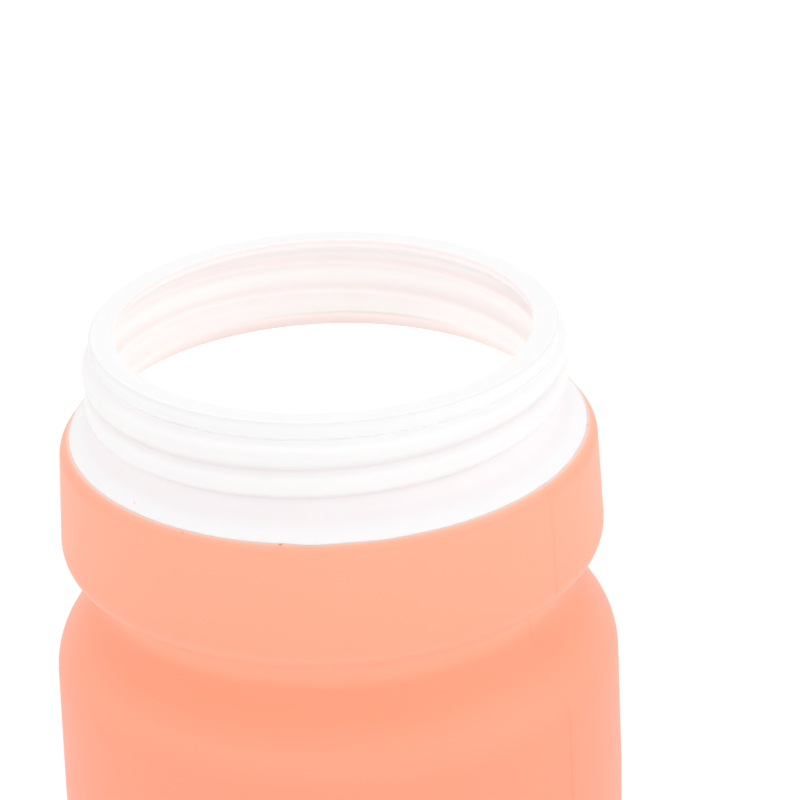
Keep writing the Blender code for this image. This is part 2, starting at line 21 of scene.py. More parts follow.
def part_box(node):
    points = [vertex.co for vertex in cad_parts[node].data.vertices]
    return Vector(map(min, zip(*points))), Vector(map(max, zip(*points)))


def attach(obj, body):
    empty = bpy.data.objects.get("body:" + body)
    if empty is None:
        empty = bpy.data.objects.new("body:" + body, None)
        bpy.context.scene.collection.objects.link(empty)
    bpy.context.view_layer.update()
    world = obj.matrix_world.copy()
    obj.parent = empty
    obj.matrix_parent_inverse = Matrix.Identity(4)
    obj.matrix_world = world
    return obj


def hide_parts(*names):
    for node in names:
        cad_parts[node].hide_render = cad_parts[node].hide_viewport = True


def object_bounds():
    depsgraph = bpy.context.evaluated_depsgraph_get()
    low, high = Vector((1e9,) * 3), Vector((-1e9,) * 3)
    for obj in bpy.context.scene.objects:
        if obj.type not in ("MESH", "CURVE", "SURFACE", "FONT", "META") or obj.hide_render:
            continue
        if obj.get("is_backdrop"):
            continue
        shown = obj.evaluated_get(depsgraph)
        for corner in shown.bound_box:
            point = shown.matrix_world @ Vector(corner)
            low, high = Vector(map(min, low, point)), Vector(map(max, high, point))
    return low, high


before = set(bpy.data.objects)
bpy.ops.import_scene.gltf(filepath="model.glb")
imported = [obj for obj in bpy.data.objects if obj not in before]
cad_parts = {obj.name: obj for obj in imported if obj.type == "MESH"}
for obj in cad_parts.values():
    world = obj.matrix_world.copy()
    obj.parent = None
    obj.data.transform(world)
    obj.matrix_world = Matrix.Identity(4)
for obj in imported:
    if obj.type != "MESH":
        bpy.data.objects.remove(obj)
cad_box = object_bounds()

MM = 0.001

# %% [markdown]
# ## Where the two axes stand
#
# Everything on this object is turned round one of two upright axes: the bottle's or the
# lid's. A potter or a lathe hand thinks of such a shape as a section, which is a line in
# a plane that holds the axis. The plain solids give both axes, so they are read from
# there. The rim's height comes from there too, and every height on the bottle is given
# down from it, because that is how they were all measured in the photograph.

# %% Read the axes and the rim from the frame
bottle_low, bottle_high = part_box("bottle_body")
lid_low, lid_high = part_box("lid_shell")
BOTTLE_X = (bottle_low.x + bottle_high.x) / 2 / MM
LID_X = (lid_low.x + lid_high.x) / 2 / MM
RIM = bottle_high.z / MM
print(f"bottle axis x {BOTTLE_X:.2f} mm, lid axis x {LID_X:.2f} mm, rim {RIM:.1f} mm up")

# %% [markdown]
# ## The camera
#
# It looks down on the open mouth at about 25 degrees, from close by, so that the back of
# the mouth is a little smaller than its front. Its place, its lens and its small tilt were
# worked out from the oval of the rim and from the two sides of the bottle. Giving a camera
# a place, a direction and then a roll about its own line of sight keeps the three easy to
# change one at a time.

# %% Set up the camera
CAMERA_DISTANCE = 380.0
CAMERA_RISE = 24.0564
CAMERA_YAW = -1.51953
CAMERA_PITCH = 1.55169
CAMERA_ROLL = -1.99056
CAMERA_LENS = 136.7434

rise = radians(CAMERA_RISE)
camera_place = Vector((BOTTLE_X, -CAMERA_DISTANCE * cos(rise),
                       RIM + CAMERA_DISTANCE * sin(rise)))
yaw, tilt = radians(CAMERA_YAW), rise + radians(CAMERA_PITCH)
camera_back = Vector((sin(yaw) * cos(tilt), -cos(yaw) * cos(tilt), sin(tilt)))
camera = bpy.data.objects.new("camera", bpy.data.cameras.new("camera"))
bpy.context.scene.collection.objects.link(camera)
camera.data.sensor_width = 36.0
camera.data.lens = CAMERA_LENS
camera.data.clip_start, camera.data.clip_end = 0.01, 20.0
turn = camera_back.to_track_quat("Z", "Y").to_matrix().to_4x4()
roll = Matrix.Rotation(radians(CAMERA_ROLL), 4, "Z")
camera.matrix_world = Matrix.Translation(camera_place * MM) @ turn @ roll
bpy.context.scene.camera = camera
print("camera at", [round(v, 4) for v in camera.matrix_world.translation])

# %% [markdown]
# ## Drawing a section
#
# A section is a list of corners, and each corner says how far it is from the axis, how
# high, and how round. Blender could round corners with a Bevel modifier, but a bevel has
# one width for a whole mesh, and here each corner has its own. So the arcs are worked out
# here, and long straight stretches are cut up as well, because the thread and the small
# ridges need points to move.

# %% Round the corners of a section
ARC_STEP = radians(7.5)


def corner_arc(before, corner, after, rounding):
    """The points of the arc that rounds one corner of a section."""
    back, onward = (before - corner).normalized(), (after - corner).normalized()
    opening = back.angle(onward)
    if rounding <= 0 or opening > radians(179.5):
        return [corner]
    room = min((before - corner).length, (after - corner).length) * 0.499
    reach = min(rounding / tan(opening / 2), room)
    radius = reach * tan(opening / 2)
    centre = corner + (back + onward).normalized() * (radius / sin(opening / 2))
    first = corner + back * reach - centre
    sweep = first.angle_signed(corner + onward * reach - centre)
    steps = max(2, ceil(abs(sweep) / ARC_STEP))
    points = []
    for step in range(steps + 1):
        swing = Matrix.Rotation(-sweep * step / steps, 2)
        points.append(centre + swing @ first)
    return points


def section(corners, spacing, closed=False):
    """The points of a section, corners rounded and straight stretches cut up."""
    places = [Vector(corner[:2]) for corner in corners]
    line = []
    for index, corner in enumerate(corners):
        if not closed and index in (0, len(corners) - 1):
            line.append(places[index])
            continue
        after = places[(index + 1) % len(corners)]
        line.extend(corner_arc(places[index - 1], places[index], after, corner[2]))
    if closed:
        line.append(line[0])
    points = [line[0]]
    for start, end in zip(line[:-1], line[1:]):
        pieces = max(1, ceil((end - start).length / spacing))
        for piece in range(1, pieces + 1):
            points.append(start.lerp(end, piece / pieces))
    if closed:
        points.pop()
    return np.array([tuple(point) for point in points])


print("a rounded square corner has",
      len(section([(1, 0, 0), (0, 0, 0.5), (0, 1, 0)], 9)), "points")

# %% [markdown]
# ## Moving a section inwards
#
# A blown wall and a coat of paint both follow the skin outside them. The same corners,
# moved inwards by a distance, give the skin under the coat and the wall inside it.

# %% Move a section inwards


def moved_in(corners, distance):
    """A section that runs down an outer skin, moved towards the axis by a distance."""
    lines = []
    for start, end in zip(corners[:-1], corners[1:]):
        along = (Vector(end[:2]) - Vector(start[:2])).normalized()
        step = Vector((along.y, -along.x)) * distance
        lines.append((Vector(start[:2]) + step, Vector(end[:2]) + step))
    moved = [(*lines[0][0], 0)]
    for (p, q), (s, t), corner in zip(lines[:-1], lines[1:], corners[1:-1]):
        bend = (q - p).cross(t - s)
        place = p + (q - p) * ((s - p).cross(t - s) / bend)
        rounding = corner[2] + (distance if bend > 0 else -distance)
        moved.append((*place, max(rounding, 0)))
    moved.append((*lines[-1][1], 0))
    return moved


print("a wall 10 mm from the axis, moved in by 1 mm, stands at",
      moved_in([(10, 2, 0), (10, 0, 0)], 1.0)[0][0], "mm")

# %% [markdown]
# ## Turning a section on its axis
#
# Blender's Screw modifier turns an outline into a round shape, but then every point of the
# section makes a plain circle. The neck has a thread, the lid has flutes and the coat has
# a mould line, and these differ from one angle to the next. So the points are laid out
# here in a grid of section points and angles, and a piece may push each point of the grid
# out or up before the mesh is made. Where the section touches the axis, its ring shrinks
# to one point.

# %% Turn a section into a mesh
AROUND = 288


def angles_round(count=AROUND, fine=(), offsets=()):
    """Angles round the axis, with more of them close to the given ones."""
    angles = set(np.round(np.arange(count) * 2 * pi / count, 9))
    for middle in fine:
        angles |= {round((middle + offset) % (2 * pi), 9) for offset in offsets}
    return np.array(sorted(angles))


def turned(name, outline, angles, closed=True, change=None):
    """A mesh turned round its own upright axis. Change moves the grid of points."""
    radius = np.repeat(outline[:, :1], len(angles), axis=1)
    height = np.repeat(outline[:, 1:], len(angles), axis=1)
    if change:
        radius, height = change(radius, height, angles[None, :])
    x, y = radius * np.cos(angles), radius * np.sin(angles)
    rings, points, count = [], [], 0
    for index in range(len(outline)):
        on_axis = outline[index, 0] < 1e-6
        width = 1 if on_axis else len(angles)
        points.append(np.column_stack([x[index], y[index], height[index]])[:width])
        rings.append(count + (np.zeros(len(angles), int) if on_axis
                              else np.arange(len(angles))))
        count += width
    pairs = list(zip(rings[:-1], rings[1:]))
    if closed:
        pairs.append((rings[-1], rings[0]))
    faces = []
    for low, high in pairs:
        for a, b, c, d in zip(low, np.roll(low, -1), np.roll(high, -1), high):
            corners = [int(a), int(b), int(c), int(d)]
            faces.append([v for i, v in enumerate(corners) if v != corners[i - 1]])
    mesh = bpy.data.meshes.new(name)
    mesh.from_pydata((np.vstack(points) * MM).tolist(), [], faces)
    return tidied(mesh)


def tidied(mesh):
    """The mesh with its faces turned outwards and shaded smooth."""
    shape = bmesh.new()
    shape.from_mesh(mesh)
    bmesh.ops.recalc_face_normals(shape, faces=shape.faces)
    for face in shape.faces:
        face.smooth = True
    shape.to_mesh(mesh)
    shape.free()
    return mesh


def placed(name, mesh, x, body, node, finish):
    """Puts a finished piece on its axis, on its body, and in place of its solid."""
    piece = bpy.data.objects.new(name, mesh)
    piece.location.x = x * MM
    bpy.context.scene.collection.objects.link(piece)
    mesh.materials.append(finish)
    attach(piece, body)
    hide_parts(node)
    print(f"{name}: {len(mesh.polygons)} faces, rides on {body}, stands for {node}")


print(len(angles_round()), "angles round a plain ring,", 360 / AROUND, "degrees apart")

# %% [markdown]
# ## The skin of the bottle
#
# These corners are the coral surface from the coat's upper edge to the heel: a short slope
# out to the band, the band that a hand grips, the narrow groove that the catch of a bicycle
# cage drops into, a sloping shoulder below it, and the long straight body. Every corner is
# soft, because a blown wall can't follow a sharp one.

# %% The skin's corners: distance from the axis, height, rounding
COAT_EDGE = (32.95, RIM - 13.9, 0)
coral_skin = [
    COAT_EDGE,
    (34.15, RIM - 15.5, 1.7),
    (35.0, RIM - 29.8, 3.1),
    (30.6, RIM - 31.4, 1.1),
    (30.6, RIM - 35.4, 5.5),
    (36.65, RIM - 44.2, 8.6),
    (37.15, RIM - 64.2, 0),
    (37.15, 0.5, 6.0),
    (30.9, 0.5, 0),
]
COAT = 0.45
COAT_GAP = 0.03
WALL = 1.0
edge_point = Vector(COAT_EDGE[:2])
edge_slope = (Vector(coral_skin[1][:2]) - edge_point).normalized()
edge_out = Vector((-edge_slope.y, edge_slope.x))
print("the coat's edge slopes down at",
      round(edge_slope.angle(Vector((1, 0))) * 180 / pi, 1), "degrees")

# %% [markdown]
# ## The edge of the coat
#
# The coating is sprayed or dipped on while the neck is covered. Its edge isn't a perfect
# circle: it wanders by one or two tenths of a millimetre, and the paint dries into a
# small round bead there. Both show in the photograph as a thin line of light. The edge is
# a little oval, since the mask over the neck was, and it has a few low bumps. The front
# ones were measured in the photograph, and the back ones are like them. A cosine of twice
# the angle gives the oval, because it closes on itself after one turn.

# %% How the coat's edge wanders
EDGE_OVAL, EDGE_OVAL_AT, EDGE_MIDDLE = 0.09, radians(-90.0), -0.05
EDGE_BUMPS = ((-94.0, 0.11, 4.0), (-79.0, 0.08, 3.5), (-40.5, -0.09, 1.5),
              (-24.0, -0.06, 8.0), (-100.0, -0.08, 1.0), (35.0, 0.07, 6.0),
              (88.0, -0.08, 4.0), (152.0, 0.1, 5.0))
EDGE_REACH = 2.5


def edge_drift(angle):
    """How far the coat's edge lies down the slope at an angle, in millimetres."""
    drift = EDGE_MIDDLE + EDGE_OVAL * np.cos(2 * (angle - EDGE_OVAL_AT))
    for degrees, size, width in EDGE_BUMPS:
        across = (angle - radians(degrees) + pi) % (2 * pi) - pi
        drift = drift + size * np.exp(-(across / radians(width)) ** 2)
    return drift


def with_drift(radius, height, angle):
    """Moves the points near the coat's edge along the slope as the edge wanders."""
    away = np.hypot(radius - edge_point.x, height - edge_point.y)
    share = np.clip(1 - away / EDGE_REACH, 0, 1) ** 2 * edge_drift(angle)
    return radius + edge_slope.x * share, height + edge_slope.y * share


drifts = edge_drift(np.arange(0, 2 * pi, 0.01))
print(f"the edge wanders from {drifts.min():.2f} to {drifts.max():.2f} mm down the slope")

# %% [markdown]
# ## The thread
#
# The thread is blown with the neck, so it is a soft ridge outside with a softer channel
# behind it inside. It is a helix: one pitch higher for each turn, anticlockwise as it
# rises, which makes it right-handed. A separate coil joined on by a Boolean would leave a
# hard crease where it meets the neck. Here the neck's own points move out instead, by an
# amount that depends on how far each one is from the helix, so the ridge grows out of the
# wall. At both ends it sinks back into the wall over an eighth of a turn. A blown wall
# can't follow the mould into a deep corner, so the valley between two turns isn't as deep
# as the neck, and neither is the gap under the lip: the value called between says how much
# of the rise is left there. Below the lowest turn nothing is left.

# %% The height of a thread ridge at any point of a wall
PITCH = 4.1
THREAD_START = radians(40.0)
THREAD_LOW = RIM - 10.5
THREAD_TURNS = 2.05
RUNOUT = 0.12
CREST_POWER = 1.7
VALLEY_FADE = 1.5


def eased(share):
    """A share from 0 to 1 with a soft start and a soft end."""
    share = np.clip(share, 0, 1)
    return share * share * (3 - 2 * share)


def thread_rise(angle, height, first, turns, half_width, rise, fullness, between=0.0):
    """How far a thread ridge lifts the wall at an angle and a height."""
    turned_by = ((angle - THREAD_START) % (2 * pi)) / (2 * pi)
    lift = np.zeros(np.broadcast(angle, height).shape)
    for lap in range(ceil(turns) + 1):
        place = turned_by + lap
        ends = eased(np.minimum(place, turns - place) / RUNOUT)
        above = height - first - PITCH * place
        away = np.abs(above) / half_width
        crest = (1 - np.clip(away, 0, 1) ** fullness) ** CREST_POWER
        left = np.where(above > 0, between, between * eased((place - 1) / RUNOUT))
        foot = left * (1 - eased((np.abs(above) - half_width) / VALLEY_FADE))
        bump = np.where(away < 1, left + (1 - left) * crest, foot)
        lift = np.maximum(lift, rise * ends * bump)
    return lift


print(f"the thread climbs {PITCH * THREAD_TURNS:.1f} mm in {THREAD_TURNS} turns")

# %% [markdown]
# ## The mould line
#
# A blow mould has two halves, and where they meet, a hair-thin ridge runs down both sides
# of the bottle, with a finer ditch beside it, since the halves never meet quite flush. The
# coat covers both but doesn't hide them. The line lies to the right of the middle in the
# photograph, less than a tenth of a millimetre high, and nearly vanishes on the sloping
# shoulder. The grid gets extra angles close to it, since a ridge narrower than the space
# between two angles would be lost.

# %% The mould line, as a rise of the skin
MOULD_LINES = (radians(-39.0), radians(141.0))
MOULD_RISE, RISE_WIDTH, RISE_BESIDE = 0.055, 0.13, 0.2
MOULD_DITCH, DITCH_WIDTH = 0.075, 0.08
SHOULDER_FADE = 0.7
SHOULDER_HIGH, SHOULDER_LOW = RIM - 36.5, RIM - 43.5
SKIN_RADIUS = 36.0
mould_offsets = [side * width / SKIN_RADIUS
                 for width in (0.05, 0.1, 0.15, 0.2, 0.3, 0.42, 0.7)
                 for side in (-1, 1)] + [0.0]
skin_angles = angles_round(AROUND, MOULD_LINES, mould_offsets)


def mould_ridge(radius, height, angle):
    """How far the mould line lifts the skin at an angle and a height."""
    lift = 0
    for line in MOULD_LINES:
        across = ((angle - line + pi) % (2 * pi) - pi) * radius
        lift = lift + MOULD_RISE * np.exp(-((across + RISE_BESIDE) / RISE_WIDTH) ** 2)
        lift = lift - MOULD_DITCH * np.exp(-(across / DITCH_WIDTH) ** 2)
    on_shoulder = eased(np.minimum(SHOULDER_HIGH - height, height - SHOULDER_LOW))
    return lift * (1 - SHOULDER_FADE * on_shoulder)


print(len(skin_angles), "angles round the coat")

# %% [markdown]
# ## Finishes: a helper for moulded plastic
#
# Plastic is never one flat colour. It scatters light a little differently from place to
# place, its gloss is uneven where the mould was, and its surface has a fine grain. Each
# finish below is built from the same few nodes: two noise patterns in the object's own
# coordinates, one slow for the colour and the gloss, and one fine for the grain, which
# goes into a Bump node. No picture is used, so it looks right at any distance.
#
# Materials need many nodes, so the first helper adds one in a single call. A socket of a
# node takes either a plain value or the output of another node, and the helper sorts out
# which. Sockets go by name, or by number where two share a name: in a Mix node, 0 is the
# share, and 6 and 7 are the two colours.

# %% Add a node, and build a plastic finish from nodes
GLOSS_DRIFT = 0.05


def added(tree, kind, inputs, **settings):
    """Adds a node and gives its sockets plain values or other nodes' outputs."""
    node = tree.nodes.new("ShaderNode" + kind)
    for setting, value in settings.items():
        setattr(node, setting, value)
    for socket, value in inputs.items():
        if isinstance(value, bpy.types.NodeSocket):
            tree.links.new(value, node.inputs[socket])
        else:
            node.inputs[socket].default_value = value
    return node


def moulded(name, colour, paler, roughness, patch, grain, grain_depth):
    """A plastic whose colour and gloss vary slowly, with a fine grain on top."""
    made = bpy.data.materials.new(name)
    made.use_nodes = True
    tree = made.node_tree
    place = added(tree, "TexCoord", {}).outputs["Object"]
    slow = added(tree, "TexNoise", {"Vector": place, "Scale": 1 / (patch * MM),
                                    "Detail": 3.0}).outputs["Fac"]
    tone = added(tree, "Mix", {0: slow, 6: (*colour, 1), 7: (*paler, 1)},
                 name="tone", data_type="RGBA")
    gloss = added(tree, "MapRange", {"Value": slow, "To Min": roughness - GLOSS_DRIFT,
                                     "To Max": roughness + GLOSS_DRIFT})
    fine = added(tree, "TexNoise", {"Vector": place, "Scale": 1 / (grain * MM),
                                    "Detail": 2.0}).outputs["Fac"]
    bump = added(tree, "Bump", {"Height": fine, "Strength": 1.0,
                                "Distance": grain_depth * MM})
    shader = tree.nodes["Principled BSDF"]
    tree.links.new(tone.outputs[2], shader.inputs["Base Color"])
    tree.links.new(gloss.outputs["Result"], shader.inputs["Roughness"])
    tree.links.new(bump.outputs["Normal"], shader.inputs["Normal"])
    print("finish:", name)
    return made


# %% [markdown]
# ## The white polyethylene
#
# The body is soft polyethylene: white, satin and a little see-through. Light enters it and
# comes out nearby, which is why the thread looks so soft in the photograph, so the shader
# has a little subsurface scattering. Outside and inside get a finish each, and a Color Ramp
# node in it holds colours by height, most of them painted light and shade: lighter and
# darker bands on the thread and under the lip, painted shade on the lip's outer edge, and
# near the coat a painted pink of coral light that shines through the wall, with painted
# shade at the foot of the neck's inside.
#
# A faint dark line of painted shade follows the valley between two turns of the thread,
# clearest inside, where it stands in for the light that the thickest wall holds back;
# outside it is painted shade in the valley's crease. The line is a helix too.
# Its place comes from the height and from the angle round the axis: one turn of angle
# weighs as much as one pitch of height, and the fraction of their difference is the same
# all along the helix. A few specks of dust, each a small dark dot at a measured place, keep
# the neck from looking newer than it is.

# %% Helpers for colours and painted shade that follow the height and the thread
VALLEY_FROM, VALLEY_FULL = 1.8, 2.6
VALLEY_FADES, VALLEY_GONE = 9.4, 11.2


def scattering(finish, weight, reach):
    """Lets light travel a little way inside a plastic."""
    shader = finish.node_tree.nodes["Principled BSDF"]
    shader.inputs["Subsurface Weight"].default_value = weight
    shader.inputs["Subsurface Radius"].default_value = (1.0, 0.9, 0.9)
    shader.inputs["Subsurface Scale"].default_value = reach * MM


def ramp_by_height(finish, stops):
    """A colour that changes with height. A stop is a depth under the rim and a colour."""
    tree = finish.node_tree
    low, high = RIM - stops[-1][0], RIM - stops[0][0]
    place = added(tree, "TexCoord", {}).outputs["Object"]
    parts = added(tree, "SeparateXYZ", {0: place})
    share = added(tree, "MapRange", {"Value": parts.outputs["Z"], "From Min": low * MM,
                                     "From Max": high * MM})
    ramp = added(tree, "ValToRGB", {"Fac": share.outputs["Result"]})
    while len(ramp.color_ramp.elements) < len(stops):
        ramp.color_ramp.elements.new(0.5)
    for element, (depth, colour) in zip(ramp.color_ramp.elements, reversed(stops)):
        element.position = (RIM - depth - low) / (high - low)
        element.color = (*colour, 1)
    return ramp.outputs["Color"], parts


def tinted(tree, colour, tint, share=1.0):
    """A colour output multiplied by a tint, as far as the share says."""
    tint = (*tint, 1) if isinstance(tint, tuple) else tint
    return added(tree, "Mix", {0: share, 6: colour, 7: tint}, data_type="RGBA",
                 blend_type="MULTIPLY").outputs[2]


def stepped(tree, value, low, high):
    """A share that goes softly from 0 to 1 while a value goes from low to high."""
    return added(tree, "MapRange", {"Value": value, "From Min": low, "From Max": high},
                 interpolation_type="SMOOTHSTEP").outputs["Result"]


def calculated(tree, operation, *values):
    """One step of arithmetic on outputs and numbers."""
    return added(tree, "Math", dict(enumerate(values)), operation=operation).outputs[0]


def valley_shade_share(tree, parts, middle, width):
    """A share that is 1 along the valley between two turns, where shade is painted."""
    height = parts.outputs["Z"]
    angle = calculated(tree, "ARCTAN2", parts.outputs["Y"], parts.outputs["X"])
    turns = calculated(tree, "DIVIDE", angle, 2 * pi)
    lift = calculated(tree, "DIVIDE", height, PITCH * MM)
    start = THREAD_LOW / PITCH - THREAD_START / (2 * pi)
    lap = calculated(tree, "SUBTRACT", calculated(tree, "SUBTRACT", lift, turns), start)
    place = calculated(tree, "FRACT", lap)
    away = calculated(tree, "ABSOLUTE", calculated(tree, "SUBTRACT", place, middle))
    near = stepped(tree, away, width, 0.0)
    below_lip = stepped(tree, height, (RIM - VALLEY_FROM) * MM, (RIM - VALLEY_FULL) * MM)
    above_foot = stepped(tree, height, (RIM - VALLEY_GONE) * MM, (RIM - VALLEY_FADES) * MM)
    both = calculated(tree, "MULTIPLY", below_lip, above_foot)
    return calculated(tree, "MULTIPLY", near, both)


def finished(finish, colour, specks=()):
    """Gives a finish its colour, with its own slow variation and a few specks.

    A speck is an angle, a distance from the axis, a depth under the rim, a size and a tint.
    """
    tree = finish.node_tree
    colour = tinted(tree, colour, tree.nodes["tone"].outputs[2])
    for degrees, radius, depth, size, tint in specks:
        spot = (radius * cos(radians(degrees)) * MM, radius * sin(radians(degrees)) * MM,
                (RIM - depth) * MM)
        place = added(tree, "TexCoord", {}).outputs["Object"]
        away = added(tree, "VectorMath", {0: place, 1: spot}, operation="DISTANCE")
        near = stepped(tree, away.outputs["Value"], size * MM, size * 0.5 * MM)
        colour = tinted(tree, colour, tint, near)
    tree.links.new(colour, tree.nodes["Principled BSDF"].inputs["Base Color"])


def neck_colours_with_painted_light(finish, stops, valley_shade_tint, valley_middle, valley_width, specks=()):
    """Neck colour with painted light and shade by height and in the valley, plus specks."""
    colour, parts = ramp_by_height(finish, stops)
    valley = valley_shade_share(finish.node_tree, parts, valley_middle, valley_width)
    colour = tinted(finish.node_tree, colour, valley_shade_tint, valley)
    finished(finish, colour, specks)


print("the valley's line runs from", VALLEY_FROM, "to", VALLEY_GONE, "mm under the rim")

# %% White polyethylene for both sides of the neck, with painted light and shade
white_polyethylene, neck_inside = (
    moulded(name, (0.985, 0.98, 0.98), (1.0, 1.0, 1.0), roughness=0.36, patch=9.0,
            grain=0.5, grain_depth=0.004)
    for name in ("white_polyethylene", "neck_inside"))
scattering(white_polyethylene, 0.5, 0.35)
scattering(neck_inside, 0.5, 0.35)
# The outside's stops are mostly painted light and shade: painted shade on the lip's outer
# edge, lighter and darker painted bands under the lip and on the thread, and a painted pink
# of coral light near the coat.
neck_colours_with_painted_light(white_polyethylene, [
    (0.004, (0.985, 0.98, 0.98)),
    (0.02, (0.87, 0.87, 0.87)),
    (0.12, (0.845, 0.845, 0.845)),
    (0.35, (0.88, 0.88, 0.88)),
    (0.7, (0.905, 0.905, 0.905)),
    (1.6, (0.895, 0.895, 0.895)),
    (1.9, (0.91, 0.91, 0.91)),
    (2.2, (0.975, 0.97, 0.97)),
    (2.6, (0.945, 0.94, 0.94)),
    (3.2, (0.915, 0.91, 0.91)),
    (3.8, (0.90, 0.895, 0.895)),
    (4.8, (0.905, 0.90, 0.90)),
    (9.0, (0.91, 0.895, 0.895)),
    (11.0, (0.925, 0.885, 0.895)),
    (12.4, (0.93, 0.89, 0.90)),
    (13.0, (0.945, 0.925, 0.93)),
    (13.9, (0.96, 0.94, 0.94)),
], valley_shade_tint=(0.98, 0.945, 0.955), valley_middle=0.5, valley_width=0.27,
             specks=[(-138.05, 32.0, 13.2, 0.22, (0.8, 0.72, 0.72))])
# The inside's stops are mostly painted light and shade: painted shade under the lip's inner
# edge and below the lip, lighter painted bands between, and a painted pink of coral light
# with painted shade at the foot of the neck.
neck_colours_with_painted_light(neck_inside, [
    (0.008, (0.985, 0.95, 0.96)),
    (0.03, (0.955, 0.85, 0.865)),
    (0.3, (0.875, 0.81, 0.80)),
    (0.8, (0.91, 0.875, 0.87)),
    (1.5, (0.94, 0.915, 0.91)),
    (2.6, (0.905, 0.87, 0.87)),
    (3.4, (0.91, 0.865, 0.86)),
    (4.0, (0.925, 0.875, 0.865)),
    (5.3, (0.965, 0.95, 0.93)),
    (7.0, (0.955, 0.905, 0.895)),
    (9.0, (0.955, 0.915, 0.905)),
    (10.0, (0.97, 0.91, 0.90)),
    (10.9, (0.985, 0.925, 0.905)),
    (11.4, (0.985, 0.885, 0.86)),
    (12.2, (0.87, 0.76, 0.725)),
    (12.8, (0.83, 0.69, 0.66)),
    (13.5, (0.78, 0.625, 0.595)),
], valley_shade_tint=(0.985, 0.95, 0.945), valley_middle=0.65, valley_width=0.2)

# %% [markdown]
# ## The glow inside
#
# The wall of the real bottle lets daylight through all round, so its inside isn't a dark
# hole: through the open mouth it looks as bright as the paper behind it. Tracing that
# light through a wall and a coat takes very long. A weak glow on the inner wall stands for
# it, and the light that bounces about inside does the rest. Less light gets down to the
# base, so the glow fades on the way, and someone who looks straight down into the bottle
# sees how deep it is. It is a third finish on the same mesh, because it belongs to the
# wall below the neck and to nothing else.

# %% The same white with a weak glow, for the inside below the neck
INNER_GLOW = 0.37
inside_white = moulded("inside_white", (0.93, 0.92, 0.92), (0.95, 0.94, 0.94),
                       roughness=0.45, patch=12.0, grain=0.6, grain_depth=0.003)
inside_shader = inside_white.node_tree.nodes["Principled BSDF"]
inside_shader.inputs["Emission Strength"].default_value = INNER_GLOW
glow, _ = ramp_by_height(inside_white, [
    (13.0, (1.0, 0.985, 0.98)),
    (40.0, (1.0, 0.985, 0.98)),
    (58.0, (0.62, 0.605, 0.6)),
    (80.0, (0.4, 0.385, 0.38)),
    (157.0, (0.2, 0.19, 0.185)),
])
inside_white.node_tree.links.new(glow, inside_shader.inputs["Emission Color"])

# %% [markdown]
# ## The coral coat's finish
#
# The coat is a satin paint of one even coral. It looks paler towards the edges of the
# bottle, but that isn't paint: every smooth surface mirrors more when it is seen at a
# flat angle, and here it mirrors white. The shader does that by itself. Deep in the groove
# coral lights coral and the colour gets richer, and the render's bounced light does that.
# So the paint itself stays nearly flat, with a slow drift of three per cent and a skin like
# very fine orange peel. A Color Ramp node holds colours by height on top, most of them
# painted light and shade: painted light at the band's lower corner and in the groove, a
# painted highlight on the lower shoulder, and painted shade that makes the body below the
# band darker than the band. The last half millimetre before the upper edge is paler, partly
# where the spray fades out and partly a painted highlight along the bead.

# %% Coral paint, with painted light and shade by height
coral_coating = moulded("coral_coating", (1.0, 0.975, 0.965), (1.0, 1.0, 1.0),
                        roughness=0.38, patch=16.0, grain=0.7, grain_depth=0.002)
# The ramp's stops are coral with painted light and shade: lighter at the band's lower
# corner, in the groove and on the lower shoulder, darker on the body below the band.
coral_with_painted_light, _ = ramp_by_height(coral_coating, [
    (13.8, (1.0, 0.64, 0.53)),
    (13.92, (1.0, 0.60, 0.49)),
    (14.02, (1.0, 0.53, 0.40)),
    (14.15, (1.0, 0.475, 0.335)),
    (14.35, (1.0, 0.44, 0.295)),
    (14.9, (1.0, 0.412, 0.27)),
    (22.0, (1.0, 0.404, 0.26)),
    (27.6, (1.0, 0.392, 0.252)),
    (28.3, (1.0, 0.402, 0.262)),
    (28.7, (1.0, 0.424, 0.282)),
    (29.3, (1.0, 0.452, 0.31)),
    (30.0, (1.0, 0.50, 0.36)),
    (31.2, (1.0, 0.47, 0.325)),
    (32.2, (1.0, 0.44, 0.295)),
    (33.4, (1.0, 0.435, 0.276)),
    (35.2, (1.0, 0.358, 0.214)),
    (38.5, (1.0, 0.352, 0.207)),
    (40.5, (1.0, 0.364, 0.224)),
    (42.0, (1.0, 0.372, 0.233)),
    (43.5, (1.0, 0.36, 0.225)),
    (45.7, (1.0, 0.342, 0.212)),
])
finished(coral_coating, coral_with_painted_light, [
    (-100.95, 32.95, 13.92, 0.36, (0.8, 0.5, 0.45)),
    (-122.6, 33.15, 14.15, 0.26, (0.95, 0.85, 0.8)),
    (-8.45, 32.95, 13.92, 0.26, (0.85, 0.65, 0.6)),
])

# %% [markdown]
# ## The white body of the bottle
#
# The section starts inside on the axis, runs along the floor and up the wall, over the lip
# and down the outside to the foot. Near the neck its points are a quarter of a millimetre
# apart, because the thread has to be smooth. The long wall needs few, since it is straight.
# It is drawn in four stretches for that reason, which are joined end to end.

# %% The neck's sizes
LIP_INNER, LIP_OUTER, LIP_THICK, LIP_FOOT = 26.2, 29.4, 1.3, 1.9
NECK, NECK_BORE = 28.9, 27.6
NECK_FOOT = RIM - 11.5
FOOT_RING, FOOT_WIDTH, RECESS, DISH = 30.6, 4.0, 2.2, 1.8

under_coat = moved_in(coral_skin, COAT + COAT_GAP)
inner_wall = moved_in(coral_skin, COAT + COAT_GAP + WALL)
BORE_END = (29.2, RIM - 13.5)
LIP_SPLIT = 26.6
print("the wall inside the coat's edge is", round(edge_point.x - inner_wall[0][0], 2),
      "mm thick across")

